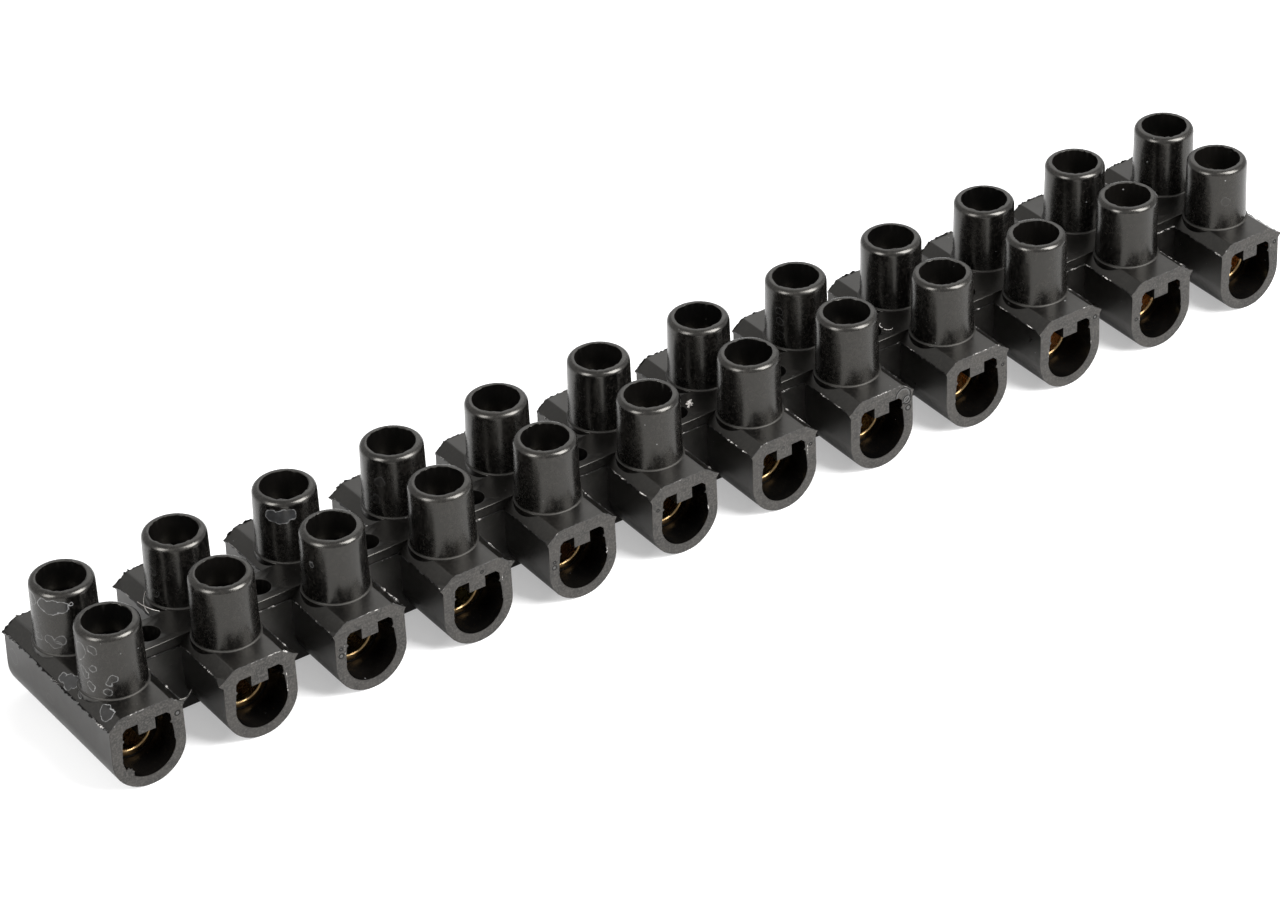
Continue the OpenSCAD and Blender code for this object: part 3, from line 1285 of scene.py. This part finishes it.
@dataclass
class Moulding:
    """The one-piece housing: CAD shape with softened edges, flash, ears and burrs."""

    edge_mm: float = 0.05
    right_ears: Reaches = (0.2, 0.4, 0.18, 0.5, 0.22, 0.32, 0.24, 0.16, 0.24, 0.26, 0.42, 0.36)
    left_ears: Reaches = (0.04, 0.5, 0.18, 0.28, 0.16, 0.16, 0.1, 0.22, 0.06, 0.16, 0.16, 0.06)
    back_left_ears: Reaches = (0.3, 0.45, 0.22, 0.4, 0.06, 0.05, 0.22, 0.18, 0.05, 0.04, 0.04, 0.04)
    back_right_ears: Reaches = (0.1, 0.2, 0.3, 0.08, 0.24, 0.1, 0.3, 0.12, 0.2, 0.26, 0.1, 0.22)

    def build(
        self,
        skins: tuple[bpy.types.Material, ...],
        torn: bpy.types.Material,
        pale: bpy.types.Material,
        white: bpy.types.Material,
    ) -> bpy.types.Object:
        """Builds the whole moulding.

        Args:
            skins: finishes of the moulded skin, of the bores and of the sawn ends.
            torn: finish of the flash, with painted glints in places.
            pale: finish of the burrs, whitened and with painted glints in places.
            white: finish of the scraps.

        Returns:
            The finished moulding.
        """
        body = softened_copy("housing", "moulding", self.edge_mm)
        self.roughen_rims(body)
        ears = [*self.ears(), Horn().build()]
        for piece in (body, *ears):
            coat(piece, *skins)
            self.dress(piece)
        flash = self.wall_flash() + self.web_flash() + self.end_burrs(Side.BACK)
        burrs, lumps = self.end_burrs(Side.FRONT) + self.mouth_burrs(), self.mouth_lumps()
        scraps = Scraps().build()
        for pieces, finish in ((flash, torn), (burrs, pale), (lumps, skins[Skin.SAWN]), (scraps, white)):
            for piece in pieces:
                coat(piece, finish)
        trims = [*ears, *flash, *burrs, *lumps, *scraps]
        log.info("moulding: %d ears and %d trims in all", len(ears), len(trims))
        weld([body, *trims])
        firm_normals(body)
        return body

    @staticmethod
    def dress(body: bpy.types.Object) -> None:
        """Gives the mouths, the driver bores and the sawn ends their own finishes.

        Args:
            body: the piece, with its finishes in the order of Skin.
        """
        zones = Zones()
        for face in body.data.polygons:
            place = face.center / MM
            if zones.sawn(place, face.normal):
                face.material_index = Skin.SAWN
            elif zones.holds(place, face.normal):
                face.material_index = Skin.INSIDE

    def roughen_rims(self, body: bpy.types.Object) -> None:
        """Makes the inner edge of each turret's rim slightly uneven.

        Args:
            body: the softened housing.
        """

        def at_rim(place: Vector) -> float:
            """Gives 1 at the inner edge of a rim, else 0."""
            if place.z < LAYOUT.top_z - 0.2:
                return 0.0
            x = LAYOUT.x(LAYOUT.pole(place.x))
            y = math.copysign(LAYOUT.turret_y, place.y)
            off = math.hypot(place.x - x, place.y - y) - LAYOUT.bore_r
            return 1.0 if off < 0.12 else 0.0

        weigh(body, "rim", at_rim)
        press(
            body,
            "DISPLACE",
            texture=clouds("rim_grain", 0.3, 1.8),
            texture_coords="LOCAL",
            vertex_group="rim",
            mid_level=0.5,
            direction="Z",
            strength=0.2 * MM,
        )

    def ears(self) -> list[bpy.types.Object]:
        """Makes the ears at the barrels' corners.

        Returns:
            The ears.
        """
        shape = Ear()
        pattern = shape.pattern()
        rows = (
            (Wall.RIGHT, Side.FRONT, self.right_ears),
            (Wall.LEFT, Side.FRONT, self.left_ears),
            (Wall.LEFT, Side.BACK, self.back_left_ears),
            (Wall.RIGHT, Side.BACK, self.back_right_ears),
        )
        made = []
        for wall, end, reaches in rows:
            for pole, reach in enumerate(reaches, start=1):
                place = shape.place(pattern, wall, end, LAYOUT.x(pole), reach)
                ear = stamp(pattern, f"ear_{wall.name}_{end.name}_{pole}", place)
                face_outwards(ear)
                made.append(ear)
        discard(pattern)
        return made

    def wall_flash(self) -> list[bpy.types.Object]:
        """Makes the flash along both walls of each barrel.

        Returns:
            The torn strips.
        """
        edge = TornEdge(length=2 * LAYOUT.half_length - 0.1)
        size = {"root": 0.2, "reach": 0.1, "tear": 0.5, "droop": 0.22, "thickness": 0.12, "grain": 0.34}
        heavy = TornEdge(length=edge.length, **size)
        places, heavy_places = [], []
        for pole in range(1, LAYOUT.poles + 1):
            for wall in Wall:
                out = wall.value * (LAYOUT.parting_half - 0.02)
                at = (LAYOUT.x(pole) + out, 0.0, LAYOUT.parting_z)
                if pole == 1 and wall is Wall.LEFT:
                    heavy_places.append((turned(at, (wall.value, 0.0, 0.45), (0.0, 1.0, 0.0)), 1.0))
                    continue
                strength = 0.9 + 0.4 * math.sin(2.4 * pole + wall.value)
                places.append((turned(at, (wall.value, 0.0, 0.0), (0.0, 1.0, 0.0)), strength))
        return edge.tear_copies(places, Seed.WALLS) + heavy.tear_copies(heavy_places, Seed.HEAVY_WALL)

    def web_flash(self) -> list[bpy.types.Object]:
        """Makes the flash along the ledges of the webs.

        Returns:
            The torn strips.
        """
        length = LAYOUT.pitch - 2 * LAYOUT.parting_half - 0.1
        edge = TornEdge(length=length, reach=0.02, tear=0.12, droop=0.05)
        places = []
        for pole in range(1, LAYOUT.poles):
            for end in Side:
                out = end.value * (LAYOUT.web_half - 0.02)
                at = (LAYOUT.x(pole) + LAYOUT.pitch / 2, out, LAYOUT.parting_z)
                strength = 0.6 + 0.4 * math.sin(1.9 * pole)
                places.append((turned(at, (0.0, end.value, 0.0), (1.0, 0.0, 0.0)), strength))
        return edge.tear_copies(places, Seed.WEBS)

    def end_burrs(self, end: Side) -> list[bpy.types.Object]:
        """Makes the burrs along the upper edges of the sawn ends.

        Args:
            end: which end of the barrels; the burrs at the back are longer.

        Returns:
            The torn strips.
        """
        grow, seed = (1.0, Seed.FRONT_ENDS) if end is Side.FRONT else (1.7, Seed.BACK_ENDS)
        size = {"root": 0.08, "reach": 0.02, "tear": 0.16 * grow, "droop": 0.07 * grow}
        size |= {"thickness": 0.08, "grain": 0.3}
        run, drop = LAYOUT.parting_half - LAYOUT.deck_half, LAYOUT.deck_z - LAYOUT.parting_z
        deck = TornEdge(length=2 * LAYOUT.deck_half - 0.3, **size)
        slope = TornEdge(length=math.hypot(run, drop) - 0.25, **size)
        flats, slopes = [], []
        for pole in range(1, LAYOUT.poles + 1):
            x = LAYOUT.x(pole)
            y = end.value * (LAYOUT.half_length - 0.02)
            at = (x, y, LAYOUT.deck_z - 0.02)
            flats.append((turned(at, (0.0, 0.3 * end.value, 1.0), (1.0, 0.0, 0.0)), 1.0))
            for wall in Wall:
                out = wall.value * (LAYOUT.deck_half + run / 2)
                middle = (x + out, y, LAYOUT.parting_z + drop / 2 - 0.01)
                tip = (wall.value * drop, 0.3 * end.value, run)
                slopes.append((turned(middle, tip, (wall.value * run, 0.0, -drop)), 1.0))
        return deck.tear_copies(flats, seed) + slope.tear_copies(slopes, seed + 50)

    def mouth_burrs(self) -> list[bpy.types.Object]:
        """Makes the burrs that the saw left round the mouths.

        Returns:
            The torn strips.
        """
        size = {"root": 0.07, "reach": 0.01, "tear": 0.12, "droop": 0.05, "thickness": 0.07, "grain": 0.3}
        side = TornEdge(length=2.9, **size)
        sides = []
        for pole in range(1, LAYOUT.poles + 1):
            for end in Side:
                y = end.value * (LAYOUT.half_length - 0.03)
                for wall in Wall:
                    at = (LAYOUT.x(pole) + wall.value * (LAYOUT.mouth_half - 0.01), y, 5.4)
                    strength = 0.6 + 0.5 * math.sin(1.3 * pole + 2.0 * wall.value + end.value)
                    sides.append((turned(at, (-wall.value, 0.0, 0.0), (0.0, 0.0, 1.0)), strength))
        return side.tear_copies(sides, Seed.MOUTHS)

    def mouth_lumps(self) -> list[bpy.types.Object]:
        """Makes the jagged lump at the lower left of the first mouth.

        Returns:
            The lump.
        """
        size = {"root": 0.1, "reach": 0.12, "tear": 0.5, "droop": 0.1, "thickness": 0.16, "grain": 0.25}
        lump = TornEdge(length=1.1, step=0.06, **size)
        corner = (LAYOUT.x(1) - 2.28, -LAYOUT.half_length + 0.05, 2.33)
        place = turned(corner, (0.79, 0.0, 0.61), (0.61, 0.0, -0.79))
        return lump.tear_copies([(place, 1.0)], Seed.LUMP)


@dataclass(frozen=True)
class Fibre:
    """A curved fibre: where it starts, its bend radius and arc, its heading and how it climbs."""

    at: Triple
    bend: float
    arc: float
    heading: float
    climb: float = 0.0


@dataclass
class Scraps:
    """Small pale scraps that cling to the webs and decks, in millimetres."""

    flake_at: Triple = (1.95, 0.2, 9.12)
    slivers: tuple[tuple[Triple, Triple], ...] = (
        ((1.1, 0.2, 0.12), (0.1, -0.2, 0.75)),
        ((0.75, 0.22, 0.12), (0.1, 0.25, 2.3)),
        ((0.55, 0.3, 0.14), (0.0, -0.7, 1.5)),
    )
    crumb_spots: tuple[tuple[Triple, float], ...] = (
        ((-59.5, 0.1, 8.53), 0.1),
        ((-43.1, 3.1, 8.97), 0.08),
    )
    fibre_r: float = 0.035
    fibre_tilt: float = 0.12
    hairs: tuple[Fibre, ...] = (
        Fibre((26.46, -0.39, 8.99), 0.5, 2.0, 0.6),
        Fibre((27.29, -1.04, 8.99), 0.5, 2.5, 2.5),
        Fibre((-60.3, 3.7, 8.27), 2.6, 1.35, 0.0, 0.46),
        Fibre((-59.75, 2.35, 9.03), 4.0, 0.66, 0.79),
    )

    def build(self) -> list[bpy.types.Object]:
        """Makes all the scraps.

        Returns:
            The scraps.
        """
        return [*self.flake(), *self.fibres(), *self.crumbs()]

    def flake(self) -> list[bpy.types.Object]:
        """Makes the cross-shaped flake.

        Returns:
            Its slivers.
        """
        made = []
        at = [v * MM for v in self.flake_at]
        for size, turn in self.slivers:
            sliver = primitive("cube", "flake_sliver", size=MM, location=at, scale=size, rotation=turn)
            with editing(sliver):
                bpy.ops.mesh.subdivide(number_cuts=4)
            settings = {"texture": clouds("flake_tear", 0.2, 2.0), "texture_coords": "LOCAL"}
            press(sliver, "DISPLACE", strength=0.12 * MM, **settings)
            made.append(sliver)
        return made

    def fibres(self) -> list[bpy.types.Object]:
        """Makes the short curved fibres.

        Returns:
            The fibres.
        """
        made = []
        upright = (math.pi / 2, 0, 0)
        for hair in self.hairs:
            ring = {"vertices": 8, "radius": self.fibre_r * MM, "rotation": upright}
            fibre = primitive("circle", "fibre", **ring)
            centre = (hair.bend * MM, 0, 0)
            with editing(fibre):
                bpy.ops.mesh.spin(steps=14, angle=hair.arc, center=centre, axis=(0, 0, 1))
            turns = ((-hair.climb, "Y"), (hair.heading, "Z"), (self.fibre_tilt, "X"))
            climb, heading, tilt = (Matrix.Rotation(angle, 4, axis) for angle, axis in turns)
            place = Matrix.Translation(Vector(hair.at) * MM) @ (climb @ heading @ tilt)
            fibre.data.transform(place)
            face_outwards(fibre)
            made.append(fibre)
        return made

    def crumbs(self) -> list[bpy.types.Object]:
        """Makes the crumbs at the edges of fixing holes.

        Returns:
            The crumbs.
        """
        made = []
        for spot, radius in self.crumb_spots:
            ball = {"subdivisions": 2, "radius": radius * MM, "location": [v * MM for v in spot]}
            made.append(primitive("ico_sphere", "crumb", **ball))
        return made


# ---------------------------------------------------------------- metal pieces


@dataclass
class WireSleeves:
    """The brass tubes, one through each barrel."""

    edge_mm: float = 0.05

    def build(self, brass: bpy.types.Material) -> None:
        """Makes all sleeves.

        Args:
            brass: their finish.
        """
        names = sorted(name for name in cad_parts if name.startswith("sleeve_"))
        for name in names:
            tube = softened_copy(name, name.replace("sleeve", "wire_sleeve"), self.edge_mm)
            coat(tube, brass)
            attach(tube, STRIP_BODY)
        log.info("wire sleeves: %d", len(names))


@dataclass
class ClampScrews:
    """The cheese-head clamping screws, modelled once and copied, in millimetres."""

    shank_r: float = 1.75
    core_r: float = 1.42
    shank: float = 4.5
    head_r: float = 2.15
    head: float = 2.0
    slot_w: float = 0.8
    slot_depth: float = 1.0
    thread_pitch: float = 0.6
    point: float = 0.46
    tip_z: float = 6.22

    def build(self, steel: bpy.types.Material) -> None:
        """Models a screw and puts a copy in each place.

        Args:
            steel: their finish.
        """
        pattern = weld([self.core(), self.thread(), self.cap()])
        coat(pattern, steel)
        only(pattern)
        bpy.ops.object.shade_smooth_by_angle(angle=math.radians(SHARP_DEG))
        for side in Side:
            for pole in range(1, LAYOUT.poles + 1):
                node = f"screw_{side.name.lower()}_{pole:02d}"
                turn = Matrix.Rotation(0.12 * math.sin(3.7 * pole + side.value), 4, "Z")
                at = Vector((LAYOUT.x(pole), side.value * LAYOUT.turret_y, self.tip_z)) * MM
                place = Matrix.Translation(at) @ turn
                screw = stamp(pattern, node.replace("screw", "clamp_screw"), place)
                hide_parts(node)
                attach(screw, node)
        discard(pattern)
        log.info("clamping screws: %d", 2 * LAYOUT.poles)

    def core(self) -> bpy.types.Object:
        """Models the shank inside the thread.

        Returns:
            The shank.
        """
        length = (self.shank + 0.2) * MM
        size = {"vertices": 48, "radius": self.core_r * MM, "depth": length}
        piece = primitive("cylinder", "screw_core", location=(0, 0, length / 2), **size)
        press(piece, "BEVEL", width=0.15 * MM, segments=2, limit_method="ANGLE")
        return piece

    def thread(self) -> bpy.types.Object:
        """Models the helical ridge.

        Returns:
            The ridge, trimmed to the shank's length.
        """
        upright = (math.pi / 2, 0, 0)
        piece = primitive("circle", "screw_thread", vertices=4, radius=MM, rotation=upright)
        inner, outer, half = self.core_r - 0.04, self.shank_r, self.thread_pitch / 2
        corners = sorted(piece.data.vertices, key=lambda v: (round(v.co.x, 6), v.co.z))
        places = ((inner, -half * 0.96), (outer, -0.05), (outer, 0.05), (inner, half * 0.96))
        order = sorted(range(4), key=lambda i: math.atan2(corners[i].co.z, corners[i].co.x))
        ring = [corners[i] for i in order]
        for vertex, (r, z) in zip(ring, places):
            vertex.co = Vector((r, 0.0, z)) * MM
        turns = math.ceil(self.shank / self.thread_pitch) + 1
        press(
            piece,
            "SCREW",
            axis="Z",
            angle=2 * math.pi,
            screw_offset=self.thread_pitch * MM,
            iterations=turns,
            steps=36,
            render_steps=36,
            use_merge_vertices=True,
            merge_threshold=0.001 * MM,
        )
        self.trim(piece, self.point, True)
        self.trim(piece, self.shank - 0.12, False)
        face_outwards(piece)
        return piece

    @staticmethod
    def trim(piece: bpy.types.Object, z_mm: float, below: bool) -> None:
        """Cuts a piece square at a height and closes the cut.

        Args:
            piece: the piece.
            z_mm: the height in millimetres.
            below: whether the part below goes, else the part above.
        """
        with editing(piece):
            bpy.ops.mesh.bisect(
                plane_co=(0, 0, z_mm * MM),
                plane_no=(0, 0, 1),
                use_fill=True,
                clear_inner=below,
                clear_outer=not below,
                threshold=0.0001 * MM,
            )

    def cap(self) -> bpy.types.Object:
        """Models the slotted head.

        Returns:
            The head.
        """
        middle, top = (self.shank + self.head / 2) * MM, (self.shank + self.head) * MM
        size = {"vertices": 64, "radius": self.head_r * MM, "depth": self.head * MM}
        head = primitive("cylinder", "screw_head", location=(0, 0, middle), **size)
        by_angle = {"limit_method": "ANGLE", "angle_limit": math.radians(60)}
        press(head, "BEVEL", width=0.25 * MM, segments=4, **by_angle)
        half = (self.head_r * 1.3, self.slot_w / 2, self.slot_depth)
        cutter = primitive("cube", "slot_cutter", size=2 * MM, location=(0, 0, top), scale=half)
        press(head, "BOOLEAN", object=cutter, operation="DIFFERENCE", solver="EXACT")
        discard(cutter)
        by_angle["angle_limit"] = math.radians(50)
        press(head, "BEVEL", width=0.05 * MM, segments=2, use_clamp_overlap=True, **by_angle)
        return head


# ----------------------------------------------------------------------- main


def main() -> None:
    """Builds the studio and every piece of the strip."""
    logging.basicConfig(level=logging.INFO, format="%(name)s: %(message)s")
    Studio().build()
    inner = NylonFinish(
        name="black_nylon_inside",
        skin=0.0018,
        turret_roughness=0.3,
        body_roughness=0.18,
        ior=1.22,
        dusty=0.35,
        uneven=0.0,
        marked=False,
    )
    skins = (NylonFinish().make(), inner.make(), SawnFinish().make())
    # Burr finish whose pale patches paint glints along the edges of the sawn ends.
    burr = TornFinish("pale_nylon_burr", dark=0.02, pale=0.4, share=0.5, ior=1.4)
    scrap = TornFinish("white_scrap", dark=0.5, pale=0.85, share=0.9, ior=1.5)
    # The flash's finish also carries painted glints in its pale patches.
    moulding = Moulding().build(skins, TornFinish(share=0.57).make(), burr.make(), scrap.make())
    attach(moulding, STRIP_BODY)
    log.info("moulding: %d faces", len(moulding.data.polygons))
    WireSleeves().build(BrassFinish().make())
    ClampScrews().build(ScrewFinish().make())


if __name__ == "__main__":
    main()
